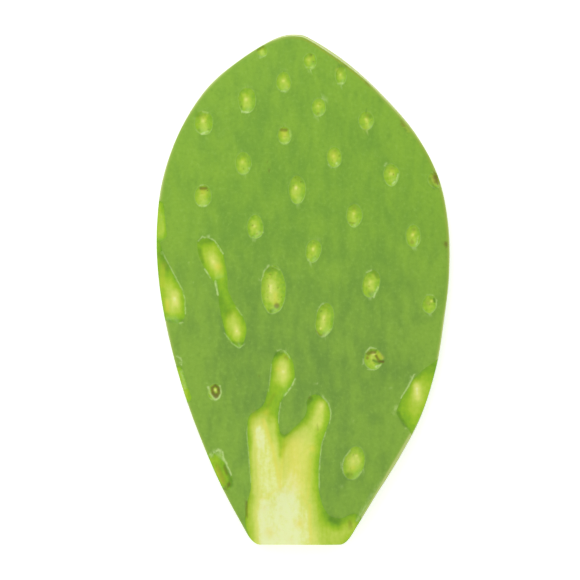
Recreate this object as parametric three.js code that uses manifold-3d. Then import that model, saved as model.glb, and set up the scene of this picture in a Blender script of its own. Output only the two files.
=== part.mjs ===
// A prickly pear pad (nopal) as it is cleaned for the kitchen: one fleshy, flattened stem segment,
// cut across at its stem end, trimmed round its edge, with every spine cushion sliced off both faces.
// Millimetres. +Z is the front face, +Y runs from the stem end to the tip, and the pad lies on its back.
import * as THREE from "three";
import { mergeVertices } from "three/addons/utils/BufferGeometryUtils.js";
import Module from "manifold-3d";

const wasm = await Module();
wasm.setup();

// Driving dimensions.
const BELLY = 6; // half of the thickness at the middle of the pad
const NECK_FRONT = 9.5; // how far the front swells from the middle plane at the stem end
const NECK_BACK = 7.2; // and the back
const NECK_STARTS = -35; // where along Y that swelling begins
const STEM_CUT = -101.7; // the straight cut across the stem
const CORNER = 5; // how much that cut's corners are rounded off
const TIP_LIFT = 2; // how far the tip curls up off the table
const TIP_STARTS = 25;
const TIP = 101.6;
const ROUNDNESS = 2.6; // exponent of the pad's section, where 2 is an ellipse
const TRIM = 0.94; // how much of the grown width the trimmed edge leaves
const FLAT = 0.2; // how deep the belly settles into the flat spot that it rests on
const BITE = 0.45; // a scoop's depth over the height of the ellipsoid that cuts it

// The pad's grown outline, up the left side, round the tip, down the right side and on past the cut stem.
const STEM_END = [-2, -122];
const OUTLINE = [
  STEM_END, [-14.5, -112], [-22.4, -97.6], [-33, -78], [-41.7, -57.9], [-48.5, -39], [-54.2, -17.6],
  [-57.8, 3], [-58.7, 23.1], [-56.4, 43.3], [-49.4, 63.2], [-38.5, 80.1], [-24.7, 92], [-11.4, 100],
  [-3, 101.6], [3.4, 99.6], [17.8, 90], [32.1, 76.9], [44.9, 61.8], [53.8, 44.5], [57.7, 25.4], [58, 5.5],
  [55.9, -13], [52.8, -31.5], [46.7, -51], [37.5, -68.5], [27.4, -84.5], [19, -98.2], [11, -113], STEM_END,
];

// The knife leans where it trims the edge, so that the front is smaller than the back: everywhere by
// LEAN, and by more round some bearings. Each is [bearing in degrees, spread in degrees, amount].
const LEAN = 0.25;
const LEANS = [[84, 13, 1.3], [62, 12, 0.35], [-60, 14, 0.5]];

// Scoops where a spine cushion was sliced off: [x, y, width, length, tilt in degrees, depth].
const FRONT_SCOOPS = [
  [-16.5, 94.5, 4.2, 4.6, 0, 0.4], [2.5, 90.8, 4.6, 6.4, 0, 0.4], [14.8, 85, 4.2, 7, 0, 0.5],
  [-8, 82.6, 5.4, 7.4, 0, 0.55], [-22.5, 75.2, 6.6, 10, 0, 0.75], [5.9, 72.6, 5, 6.6, 0, 0.4],
  [-39.7, 66.4, 7, 9.2, 0, 0.7], [24.9, 67.1, 5.6, 7, 0, 0.5], [-7.7, 61.3, 5, 6.4, 0, 0.5],
  [12.2, 52.6, 5.4, 7.4, 0, 0.5], [-23.9, 50.2, 5.8, 8.4, 0, 0.55], [34.8, 45.7, 5.8, 8.4, 0, 0.65],
  [52, 43.5, 4.4, 6.3, 20, 0.6], [-40.1, 37.4, 6.4, 8.4, 0, 0.65], [-2.6, 39.7, 6.4, 10.8, 0, 0.85],
  [20.1, 29.4, 6, 8.8, 0, 0.65], [-19.3, 25, 6.2, 9, 0, 0.6], [43.6, 21.4, 5.8, 8.6, 0, 0.65],
  [3.9, 15.5, 6, 9, -6, 0.65], [-36.4, 12.1, 9.4, 18, 20, 1.5], [-27.3, -15, 8.2, 16.6, 15, 1.4],
  [-12.1, 0.1, 9.4, 18.8, 0, 1.4], [26.9, 2.4, 6.6, 10.8, -10, 0.85], [50.1, -5.6, 5.4, 6.8, 0, 0.5],
  [8.4, -12, 7.2, 13.2, -8, 1.05], [27.7, -27.5, 7, 8, 0, 0.65], [-7.8, -32.2, 9, 16.6, 8, 1.5],
  [-35.3, -40.6, 5, 6.5, 0, 0.55], [45.8, -42.2, 11.6, 26.6, -29, 2], [20, -68.9, 8.4, 13, -15, 1],
  [-51.6, -5.4, 9, 15.8, 6, 1.8],
];

// Longer strokes of the knife, tapering from one end to the other: [x, y, width, x, y, width, depth].
const FRONT_STROKES = [
  [-35, 8, 5, -29.4, -10, 5, 0.7], // joins the two scoops beside the left edge
  [-57.8, 17, 4, -52.6, -4, 10, 1.5], // runs into the scoop on the left edge
  [-57.8, 32, 4, -57.4, 22, 5.6, 0.9],
  [-50.8, -29, 3, -47.2, -42, 3.6, 0.8],
  [-36.8, -66.8, 5.6, -30.6, -78, 5.4, 1.1],
  [-8.4, -36, 6.4, -15, -53, 8, 1.2], // neck from the stem cut up to a scoop
  [-7.4, -72, 26, -4.4, -107, 35, 1.3], // the skin between the prongs and round the stem
  [-16, -54, 12, -13, -100, 17, 2.5], // left prong of the stem cut
  [-0.8, -62.5, 14.4, -3, -100, 20, 2.4], // right prong, and the slice above it
  [5.8, -47.4, 10, -0.4, -66, 14, 1.9],
  [-7.4, -91, 27, -7.4, -108, 33, 3.4], // across the stem itself
  [5, -84, 9, 10, -104, 18, 1.9],
  [10, -99, 10, 18.8, -94, 7, 1.6],
];
const BACK_STROKES = [
  [1, -78, 22, 0, -107, 38, 1.2],
  [4, -70, 13, 2, -100, 20, 2],
  [-3, -88, 22, -1, -107, 30, 2.8],
  [-13, -99, 9, -19, -91, 6, 1.1],
];

// The back's cushions stand in a diamond lattice, each a little out of place.
const LATTICE = { across: 29, along: 15.5, stray: 2.2, reach: 0.9, width: [5, 7], length: [6.5, 10] };
const BACK_STEM = -60; // no cushion below this, where the stem was cut
const BACK_DEPTH = 0.6;

const SPOKES = 112; // faces round the pad
const RINGS = [0.2, 0.38, 0.55, 0.7, 0.83, 0.93, 1]; // and out from its middle
const SCOOP = { sides: 12, stacks: 6 };
const STROKE = { sides: 14, stacks: 8 };

const smooth = (from, to, value) => THREE.MathUtils.smoothstep((value - from) / (to - from), 0, 1);

const grown = new THREE.SplineCurve(OUTLINE.map(([x, y]) => new THREE.Vector2(x, y)));
const finely = grown
  .getSpacedPoints(1440)
  .map((p) => [p.angle(), p.length()])
  .sort((a, b) => a[0] - b[0]);

// Distance from the middle of the pad to its grown outline, on a bearing from 0 to 2 pi.
function grownRadius(bearing) {
  const after = finely.findIndex(([angle]) => angle >= bearing);
  if (after <= 0) return finely[0][1];
  const [[angle0, radius0], [angle1, radius1]] = finely.slice(after - 1, after + 1);
  return THREE.MathUtils.mapLinear(bearing, angle0, angle1, radius0, radius1);
}

// The same to the real edge, which the cut across the stem shortens, with its corners rounded.
function edgeRadius(bearing) {
  const whole = grownRadius(bearing);
  if (Math.sin(bearing) > -0.5) return whole;
  const cut = STEM_CUT / Math.sin(bearing);
  const blend = THREE.MathUtils.clamp(0.5 + (cut - whole) / CORNER / 2, 0, 1);
  return THREE.MathUtils.lerp(cut, whole, blend) - CORNER * blend * (1 - blend);
}

const polar = (radius, bearing) => new THREE.Vector2(radius, 0).rotateAround(new THREE.Vector2(), bearing);
const edge = new THREE.SplineCurve(finely.map(([bearing]) => polar(edgeRadius(bearing), bearing)));
const spokes = edge.getSpacedPoints(SPOKES).slice(1).map((p) => p.angle());

function knifeLean(bearing) {
  let lean = LEAN;
  for (const [middle, spread, amount] of LEANS) {
    const turn = THREE.MathUtils.radToDeg(bearing) - middle;
    const away = THREE.MathUtils.euclideanModulo(turn + 180, 360) - 180;
    lean += amount * Math.exp(-((away / spread) ** 2));
  }
  return lean;
}

// How full the pad's section is at a point: 1 at the middle, less towards the trimmed edge.
function fullness(x, y) {
  const reach = Math.hypot(x, y) / grownRadius(new THREE.Vector2(x, y).angle());
  return (1 - (TRIM * reach) ** ROUNDNESS) ** (1 / ROUNDNESS);
}

function middlePlane(y) {
  return BELLY - FLAT + TIP_LIFT * Math.max(0, (y - TIP_STARTS) / (TIP - TIP_STARTS)) ** 2;
}

function frontHeight(x, y) {
  const swell = THREE.MathUtils.lerp(BELLY, NECK_FRONT, smooth(NECK_STARTS, STEM_CUT, y));
  return middlePlane(y) + swell * fullness(x, y);
}

function backHeight(x, y) {
  const swell = THREE.MathUtils.lerp(BELLY, NECK_BACK, smooth(NECK_STARTS, STEM_CUT, y));
  return Math.max(0, middlePlane(y) - swell * fullness(x, y));
}

// The whole pad before anything is scooped out of it: rings of points out from the middle of the front,
// over the edge and back in to the middle of the back.
function padGeometry() {
  const points = [];
  const faces = [];
  const ring = (part, side) => {
    for (const bearing of spokes) {
      const radius = part * (edgeRadius(bearing) - (side === frontHeight ? knifeLean(bearing) : 0));
      const [x, y] = [radius * Math.cos(bearing), radius * Math.sin(bearing)];
      points.push(x, y, side(x, y));
    }
  };
  points.push(0, 0, frontHeight(0, 0.001));
  RINGS.forEach((part) => ring(part, frontHeight));
  [...RINGS].reverse().forEach((part) => ring(part, backHeight));
  const last = points.length / 3;
  points.push(0, 0, 0);
  for (let i = 0; i < SPOKES; i++) {
    const j = (i + 1) % SPOKES;
    faces.push(0, 1 + i, 1 + j);
    for (let r = 1; r < last - SPOKES; r += SPOKES) {
      faces.push(r + i, r + SPOKES + i, r + j, r + j, r + SPOKES + i, r + SPOKES + j);
    }
    faces.push(last, last - SPOKES + j, last - SPOKES + i);
  }
  const pad = new THREE.BufferGeometry();
  pad.setAttribute("position", new THREE.Float32BufferAttribute(points, 3));
  return pad.setIndex(faces);
}

// Turns a cutter, made round the origin with +Z out of the skin, to sit on the skin at a point.
function seat(cutter, [x, y], side) {
  const out = side === frontHeight ? 1 : -1;
  const step = 1;
  const slopeX = (side(x + step, y) - side(x - step, y)) / (2 * step);
  const slopeY = (side(x, y + step) - side(x, y - step)) / (2 * step);
  const normal = new THREE.Vector3(-slopeX * out, -slopeY * out, out).normalize();
  const turn = new THREE.Quaternion().setFromUnitVectors(new THREE.Vector3(0, 0, 1), normal);
  return cutter.applyQuaternion(turn).translate(x, y, side(x, y));
}

// A unit ball with its poles up and down and no corner on its long sides' middle.
function ball({ sides, stacks }) {
  return new THREE.SphereGeometry(1, sides, stacks).rotateX(Math.PI / 2).rotateZ(Math.PI / sides);
}

// An ellipsoid that cuts an oval of the given width and length, to the given depth.
function scoopCutter([x, y, width, length, tilt, depth], side) {
  const spread = 2 * Math.sqrt(1 - (1 - BITE) ** 2);
  const cutter = ball(SCOOP)
    .scale(width / spread, length / spread, depth / BITE)
    .translate(0, 0, depth / BITE - depth)
    .rotateZ(tilt * THREE.MathUtils.DEG2RAD);
  return seat(cutter, [x, y], side);
}

// A ball drawn out from one end of a stroke to the other.
function strokeCutter([x0, y0, width0, x1, y1, width1, depth], side) {
  const spread = 2 * Math.sqrt(1 - (1 - BITE) ** 2);
  const ends = [new THREE.Vector3(x0, y0, side(x0, y0)), new THREE.Vector3(x1, y1, side(x1, y1))];
  const along = ends[1].clone().sub(ends[0]);
  const cutter = ball(STROKE);
  const place = cutter.getAttribute("position");
  const length = along.length();
  for (let i = 0; i < place.count; i++) {
    const first = place.getY(i) > 0;
    const size = (first ? width0 : width1) / spread;
    const y = place.getY(i) * size + (first ? length / 2 : -length / 2);
    const z = place.getZ(i) * (depth / BITE) + (depth / BITE - depth);
    place.setXYZ(i, place.getX(i) * size, y, side === frontHeight ? z : -z);
  }
  const basis = new THREE.Matrix4();
  const back = along.clone().normalize().negate();
  const across = new THREE.Vector3().crossVectors(back, new THREE.Vector3(0, 0, 1)).normalize();
  basis.makeBasis(across, back, new THREE.Vector3().crossVectors(across, back));
  const middle = ends[0].clone().lerp(ends[1], 0.5);
  cutter.applyMatrix4(basis).translate(...middle);
  if (side === backHeight) cutter.index.array.reverse();
  return cutter;
}

// Repeatable stray for the back's cushions, from 0 to 1.
function strayer(seed) {
  let state = seed;
  return () => {
    state = (state * 16807) % 2147483647;
    return state / 2147483647;
  };
}

function backScoops() {
  const draw = strayer(11);
  const scoops = [];
  for (let row = -7; row <= 6; row++) {
    for (let column = -3; column <= 3; column++) {
      const x = (column + (row % 2 ? 0.5 : 0)) * LATTICE.across + LATTICE.stray * (2 * draw() - 1);
      const y = (row + 0.5) * LATTICE.along + LATTICE.stray * (2 * draw() - 1);
      const width = THREE.MathUtils.lerp(...LATTICE.width, draw());
      const length = THREE.MathUtils.lerp(...LATTICE.length, draw());
      const inside = Math.hypot(x, y) < LATTICE.reach * grownRadius(new THREE.Vector2(x, y).angle());
      if (inside && y > BACK_STEM) scoops.push([x, y, width, length, 0, BACK_DEPTH]);
    }
  }
  return scoops;
}

function solid(geometry) {
  geometry.deleteAttribute("normal");
  geometry.deleteAttribute("uv");
  const merged = mergeVertices(geometry, 1e-3);
  const triVerts = new Uint32Array(merged.index.array);
  const mesh = new wasm.Mesh({ numProp: 3, vertProperties: merged.attributes.position.array, triVerts });
  return new wasm.Manifold(mesh);
}

function scoopedPad() {
  let pad = solid(padGeometry());
  const cutters = [
    ...FRONT_SCOOPS.map((scoop) => scoopCutter(scoop, frontHeight)),
    ...FRONT_STROKES.map((stroke) => strokeCutter(stroke, frontHeight)),
    ...backScoops().map((scoop) => scoopCutter(scoop, backHeight)),
    ...BACK_STROKES.map((stroke) => strokeCutter(stroke, backHeight)),
  ];
  for (const cutter of cutters) pad = pad.subtract(solid(cutter));
  const { vertProperties, triVerts } = pad.getMesh();
  const geometry = new THREE.BufferGeometry();
  geometry.setAttribute("position", new THREE.BufferAttribute(vertProperties, 3));
  geometry.setIndex(new THREE.BufferAttribute(triVerts, 1));
  geometry.computeBoundingBox();
  const middle = geometry.boundingBox.getCenter(new THREE.Vector3());
  return geometry.translate(-middle.x, -middle.y, -geometry.boundingBox.min.z);
}

const skin = new THREE.MeshStandardMaterial({ color: 0x7ca843, roughness: 0.5, metalness: 0 });

const pad = new THREE.Mesh(scoopedPad(), skin);
pad.name = "pad";

const model = new THREE.Group();
model.add(pad);
export default model;
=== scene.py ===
"""A prickly pear pad cleaned for the kitchen, lying on its back on a pale table.

The pad is one fleshy piece: two skins that bulge apart, a knife-trimmed edge between them, a stem end
cut straight across, and a scar wherever a spine cushion was sliced off. It is worked out in millimetres
and written to the mesh in metres.
"""

import math

import bpy
import numpy as np
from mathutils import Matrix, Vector, noise


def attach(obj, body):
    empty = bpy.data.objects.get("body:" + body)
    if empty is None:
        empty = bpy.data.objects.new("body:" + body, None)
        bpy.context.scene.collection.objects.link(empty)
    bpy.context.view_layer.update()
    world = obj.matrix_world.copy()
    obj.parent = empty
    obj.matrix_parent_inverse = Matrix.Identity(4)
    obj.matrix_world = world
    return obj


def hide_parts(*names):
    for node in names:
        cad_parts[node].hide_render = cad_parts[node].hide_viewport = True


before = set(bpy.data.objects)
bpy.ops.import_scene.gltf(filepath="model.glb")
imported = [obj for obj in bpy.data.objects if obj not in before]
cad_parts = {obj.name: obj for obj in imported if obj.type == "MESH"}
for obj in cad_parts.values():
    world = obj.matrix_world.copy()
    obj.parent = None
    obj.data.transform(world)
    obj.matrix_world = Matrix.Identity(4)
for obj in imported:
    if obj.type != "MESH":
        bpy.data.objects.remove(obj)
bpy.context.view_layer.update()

MM = 0.001

# ---------------------------------------------------------------- the pad's form, as its solid has it

BELLY = 6.0  # half of the thickness at the middle of the pad
NECK_FRONT = 9.5  # how far the front swells from the middle plane at the stem end
NECK_BACK = 7.2  # and the back
NECK_STARTS = -35.0  # where along Y that swelling begins
STEM_CUT = -101.7  # the straight cut across the stem
CORNER = 5.0  # how much that cut's corners are rounded off
TIP_LIFT = 2.0  # how far the tip curls up off the table
TIP_STARTS = 25.0  # where along Y it starts to
TIP = 101.6  # where along Y the tip is
ROUNDNESS = 2.6  # exponent of the pad's section, where 2 is an ellipse
TRIM = 0.94  # how much of the grown width the trimmed edge leaves
FLAT = 0.2  # how deep the belly settles into the flat spot that it rests on
BITE = 0.45  # a scoop's depth over the height of the ellipsoid that cuts it
SETTLED = 0.26  # how far the front is kept under the solid's, to leave room for its unevenness

# The pad's grown outline, up the left side, round the tip, down the right side and on past the cut stem.
STEM_END = (-2, -122)
OUTLINE = [
    STEM_END, (-14.5, -112), (-22.4, -97.6), (-33, -78), (-41.7, -57.9), (-48.5, -39), (-54.2, -17.6),
    (-57.8, 3), (-58.7, 23.1), (-56.4, 43.3), (-49.4, 63.2), (-38.5, 80.1), (-24.7, 92), (-11.4, 100),
    (-3, 101.6), (3.4, 99.6), (17.8, 90), (32.1, 76.9), (44.9, 61.8), (53.8, 44.5), (57.7, 25.4),
    (58, 5.5), (55.9, -13), (52.8, -31.5), (46.7, -51), (37.5, -68.5), (27.4, -84.5), (19, -98.2),
    (11, -113), STEM_END,
]

# The knife leans where it trims the edge, so that the front is smaller than the back: everywhere by
# LEAN, and by more round some bearings. Each is a bearing and a spread in degrees, and an amount.
LEAN = 0.25
LEAN_STARTS = 0.86  # how far out towards the edge the front begins to narrow
LEANS = [(84, 13, 1.3), (62, 12, 0.35), (-60, 14, 0.5)]

# Scars where a spine cushion was sliced off: x, y, width, length, tilt in degrees, depth, how bright the
# painted highlight on the core is, and how much brown is left of the cushion.
FRONT_SCARS = [
    (-16.5, 94.4, 4.2, 4.6, 0, 0.5, 0.35, 0.3), (2.5, 90.6, 4.8, 6.5, 0, 0.5, 0.5, 0.7),
    (14.8, 84.9, 4.2, 7.3, 0, 0.6, 0.65, 0.3), (-8, 82.3, 5.6, 7.5, 0, 0.7, 0.8, 0.15),
    (-22.5, 75, 6.7, 10.3, 0, 0.9, 0.7, 0), (5.9, 72.4, 5.4, 6.9, 0, 0.5, 0.7, 0.3),
    (-39.7, 66.2, 7.3, 9.5, 0, 0.9, 0.75, 0.3), (24.8, 67, 5.8, 7.3, 0, 0.6, 0.9, 0.5),
    (-7.6, 61.1, 5.2, 6.7, 0, 0.6, 0.1, 1), (12.1, 52.4, 5.6, 7.9, 0, 0.6, 0.7, 0.7),
    (-24, 50, 6.1, 8.7, 0, 0.7, 0.5, 0.3), (34.7, 45.4, 6, 8.5, 0, 0.8, 0.6, 0.6),
    (51.9, 43.4, 4.4, 6.3, 20, 0.7, 0.4, 0.6), (-40, 37.1, 6.5, 8.5, 0, 0.8, 0.2, 1),
    (-2.6, 39.5, 6.5, 11.1, 0, 1, 1, 0), (20, 29.4, 6, 9.1, 0, 0.8, 0.7, 0.6),
    (-19.3, 24.8, 6.3, 9.5, 0, 0.7, 0.7, 0), (43.4, 21.2, 5.8, 8.7, 0, 0.8, 0.7, 0.75),
    (3.8, 15.4, 6.1, 9.1, -6, 0.8, 0.85, 0.3), (-12.1, 0, 9.7, 19.2, 0, 1.6, 0, 0),
    (26.7, 2.2, 6.7, 11.1, -10, 1, 0.5, 0), (49.9, -5.8, 5.6, 7.1, 0, 0.6, 0.3, 0.2),
    (8.3, -12.1, 7.1, 13.5, -8, 1.2, 0.7, 0), (27.5, -27.6, 7.3, 8.3, 0, 0.8, 0.4, 0),
    (-35.3, -40.6, 5.2, 6.5, 0, 0.7, 0, 0), (19.9, -68.8, 8.3, 13.1, -15, 1.2, 0.5, 0),
]

# Larger cuts, each with its outline, the strokes of the knife in it as x, y, width, x, y, width, depth,
# and how far in from its border its flesh stays green, at its left and at its right.
STEM_CUTS = [
    (-22.6, -95.4), (-23.2, -87.5), (-21.1, -79.5), (-21.3, -71.6), (-22.5, -57.7), (-21.9, -50.6),
    (-18.9, -48), (-15.3, -44.6), (-13.5, -35.9), (-12, -27.2), (-8.6, -23.8), (-5, -27.2),
    (-3.6, -33.9), (-5.8, -39.9), (-9, -44.6), (-10, -53), (-7.7, -57.7), (-2.1, -53.1), (1, -49),
    (1.7, -43.8), (4.9, -41.7), (9.3, -44.6), (10.6, -50.6), (7.3, -60.1), (6.1, -71.6), (6.2, -80.7),
    (8.9, -88.1), (13.6, -90.8), (20.8, -89.1), (24, -96.2), (12.5, -106.5), (-16.5, -106.5),
]
STEM_STROKES = [
    (-7.8, -30, 8.8, -7.8, -35, 9, 1.4), (-8.4, -36, 6.4, -15, -53, 8, 0.9),
    (-7.4, -72, 26, -4.4, -107, 35, 1.2), (-16, -54, 12, -13, -100, 17, 2.5),
    (-0.8, -62.5, 14.4, -3, -100, 20, 2.4), (5.8, -47.4, 10, -0.4, -66, 14, 1.7),
    (-7.4, -91, 27, -7.4, -108, 33, 3.4), (5, -84, 9, 10, -104, 18, 1.5), (10, -99, 10, 18.8, -94, 7, 1.2),
]
DUMBBELL = [
    (-42.3, 15.7), (-41.1, 20.4), (-35.4, 19.3), (-31.9, 14.1), (-30.5, 5.8), (-29.6, -1.8),
    (-24.2, -10.7), (-22.7, -16.9), (-25.5, -23.2), (-30.7, -18), (-33, -8.9), (-34.6, 0.6),
    (-38.7, 7.3),
]
LEFT_SLICE = [
    (-58.9, 21.2), (-55.6, 13.7), (-51.3, 5.8), (-47.6, -1.4), (-47, -8.9), (-49.4, -13.3),
    (-54.6, -12.3), (-60.9, -12.9), (-63.3, 3.8),
]
RIGHT_SLICE = [
    (55.7, -27.2), (50.1, -30.1), (43.4, -35.9), (38.6, -43.8), (37, -49.4), (41, -54.7), (45.4, -59.7),
    (52.5, -53.4), (58.1, -39.9),
]
FLAP = [
    (-41.1, -66.8), (-35.9, -64.5), (-32.4, -64.7), (-30.7, -69.4), (-28.2, -76.4), (-30.4, -79.5),
    (-36.3, -76.4),
]
DUMBBELL_STROKES = [
    (-37.5, 14.5, 9, -35, 9, 9, 1.3), (-35, 8, 6, -29.4, -10, 6, 0.4), (-28, -12, 8, -26.5, -18, 8, 1.3),
]
LEFT_STROKES = [(-57.8, 17, 4, -52.6, -4, 10, 1), (-52, -3, 9, -51.2, -8, 9, 1.3)]
SLICES = [
    (STEM_CUTS, STEM_STROKES, 1.8, 4.4),
    (DUMBBELL, DUMBBELL_STROKES, 2.3, 2.3),
    (LEFT_SLICE, LEFT_STROKES, 2.2, 2.8),
    (RIGHT_SLICE, [(49, -36, 10, 44.5, -48, 11, 1.2)], 4, 4),
    (FLAP, [(-35.4, -68, 5, -31, -77, 6, 0.8)], 2.5, 2.5),
]

# Strokes that only graze the left edge, and the strokes across the stem on the back.
EDGE_STROKES = [(-57.8, 33, 4.4, -57.4, 22, 6, 0.55), (-50.2, -32, 3.6, -46.8, -43, 4.2, 0.7)]
BACK_STROKES = [
    (1, -78, 22, 0, -107, 38, 1.2), (4, -70, 13, 2, -100, 20, 2), (-3, -88, 22, -1, -107, 30, 2.8),
    (-13, -99, 9, -19, -91, 6, 1.1),
]

# The back's spine cushions stand in a diamond lattice, each a little out of place.
LATTICE = {"across": 29, "along": 15.5, "stray": 2.2, "reach": 0.9, "width": (5, 7), "length": (6.5, 10)}
BACK_STEM = -60  # no cushion below this, where the stem was cut
BACK_DEPTH = 0.6

LEAST_PALE = 0.13  # how pale flesh is at the skin, where 1 is the white of the pith
MOST_PALE = 0.84  # how much paler it gets with depth
EDGE_GREEN = 2  # how far in from its border the flesh of a grazing stroke stays green
OUTSIDE = -50.0  # what counts as far outside every cut

# Marks on the front: how strong each is, then x, y and width at every point along it.
# Flesh that stays green.
GREEN = [
    (0.2, -14.1, -51.8, 1.6, -12.5, -60.7, 1.2), (0.1, -3.6, -62, 5, -3.4, -70, 4),
    (0.7, -7.8, -57.5, 3.5, -7.8, -62, 2), (0.45, -9.5, -40, 5, -13, -48.5, 6), (0.4, -11, -26, 5),
    (0.5, -8.2, -58.6, 3.6, -9.2, -66, 1.7), (0.9, 9.5, -89.5, 5, 12, -92.5, 4),
    (0.35, 6.5, -93, 5, 9, -104, 7), (0.4, 3.5, -44.5, 5), (0.5, -34.2, 2, 5, -31, -8, 5),
    (0.45, -39, 18, 5), (0.3, -25, -21.5, 4), (0.6, -57, 16, 6, -54.5, 7, 6), (0.5, -50, -12, 4),
    (0.5, 40, -51, 6), (0.6, 52, -32, 7), (0.45, 53, -38, 6, 47, -52, 6),
    (0.4, -58.5, 8, 4, -56, -10, 4), (0.3, -19.5, -49, 4), (0.22, -21.5, -60, 2.4, -20.8, -79, 2.6),
    (0.3, -20.5, -92, 3.4, -18.5, -103, 5), (0.5, -34, -69, 6, -30, -77, 6),
]
# Flesh that shows paler, down to the white of the pith, and painted highlights on the wet flesh of the
# cuts.
PALE_AND_HIGHLIGHTS = [
    (0.3, -9.8, -58.9, 1.6, -7.6, -60.5, 2, -5.4, -58.5, 1.6), (0.7, -36.5, 12.5, 2, -35.3, 9.7, 2.2),
    (0.9, -35.9, 10.9, 1.2), (0.68, -27.1, -14.9, 1.8, -26.2, -17.3, 2.1), (0.9, -26.7, -16.5, 1),
    (0.68, -51.4, -1.8, 2.8, -51, -6.1, 2.8), (0.86, -51.5, -3.4, 1.4, -51, -5.4, 1.4),
    (0.8, 44.8, -38.3, 2.8, 45.2, -43, 2.4), (0.92, 45, -39.5, 1.2, 45.1, -41.5, 1.2),
    (0.66, 20.2, -67.8, 4.4), (0.85, 20.8, -65.9, 0.8), (0.7, -8.4, -29.6, 2, -8, -35.1, 2.6),
    (0.9, -8.1, -32.7, 1.4), (0.6, -13, 2.6, 3, -12.7, -3, 3.4), (0.85, -13.1, 1.4, 1, -13.1, -1, 1),
    (0.85, 6.7, -15.5, 0.8), (0.75, 50.7, -4.7, 1), (0.85, 27.7, -25.6, 1.4), (0.9, -35.2, -39.9, 0.9),
    (0.42, -56.4, 28.4, 2, -56.2, 23.2, 2), (0.9, -17.5, -56.5, 4, -14.7, -76.4, 7.5),
    (0.7, -18.7, -63.7, 3.6, -18.1, -79.5, 4.8), (0.72, 6.9, -45.8, 2.8, 5.5, -53, 3.6),
    (0.9, 6.7, -46.6, 1), (0.62, 1, -55.7, 3.6, -1.4, -61.7, 7.1),
    (0.8, -1.8, -61.7, 7.1, -4.2, -78.3, 7.1), (0.9, -4.6, -74.8, 3.6, -3.4, -78.7, 4.4),
    (1, -7, -85.1, 13.1, -6.6, -102.5, 21.4), (1, -15.7, -85.1, 3.2, -16.1, -88.3, 4, -15.7, -101.4, 4),
    (0.97, -18.1, -55.7, 2.4, -17.5, -61.3, 2.4),
]
# Flesh turned golden.
GOLD = [
    (0.6, -4.2, -62.1, 6.3, -3.4, -77.2, 5.2), (0.5, -34.4, -71.6, 1.6, -32, -76.4, 1.6),
    (0.65, -16.1, -51.8, 1.4, -12.5, -62.1, 1.2, -9.6, -76.4, 1.2),
    (0.55, -7.8, -62.1, 2, -9.6, -77.2, 1.2), (0.3, -19.5, -49.2, 2, -20.7, -54.9, 1.2),
    (0.6, -14.9, -49, 2.4), (0.9, 3.2, -63.1, 2), (0.35, 1, -63.7, 3.2, -0.2, -75.6, 3.2),
    (0.5, 2.5, -67.6, 1.2, 1.7, -82.3, 1.2), (0.9, -9.4, -78.3, 1.6),
    (0.4, -16.5, -83.5, 1.2, -11.7, -80.1, 1.2, -1.4, -80.1, 1.2, 1.2, -84.7, 1.2),
    (0.9, -1.8, -92.9, 3.2), (0.7, -13.7, -96.5, 3.2), (0.55, 2.3, -85.5, 1, 2.7, -99.4, 1),
    (0.3, -9, -64.5, 2.4), (0.8, -34, 9, 2.4), (0.8, -54.4, -5, 1.6, -54.2, -7.7, 1.6),
    (0.6, -10.2, -31.5, 1.8), (0.5, 19.6, -70.6, 1.8), (0.55, -11.3, -1.8, 1.6, -11.1, -5.4, 2),
    (0.3, -6.6, 80.5, 1.6), (0.3, 24.6, 64.1, 2), (0.3, 39.8, 65.7, 1.2, 41.8, 62.7, 1.2),
    (0.3, 13.2, 87.1, 1.2), (0.6, 29.9, -26, 1.6, 31.1, -27.2, 1.2), (0.3, 25.5, -27.2, 1.2),
    (0.6, -40.1, 39.2, 1.8), (0.5, -8, 61.9, 2.4), (0.4, 11.9, 53, 2.8), (0.4, -15.7, -86.7, 2),
    (0.3, -5, -99.4, 2.4), (0.4, -55.8, 9.7, 2, -56.6, 1.8, 2),
]
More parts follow.
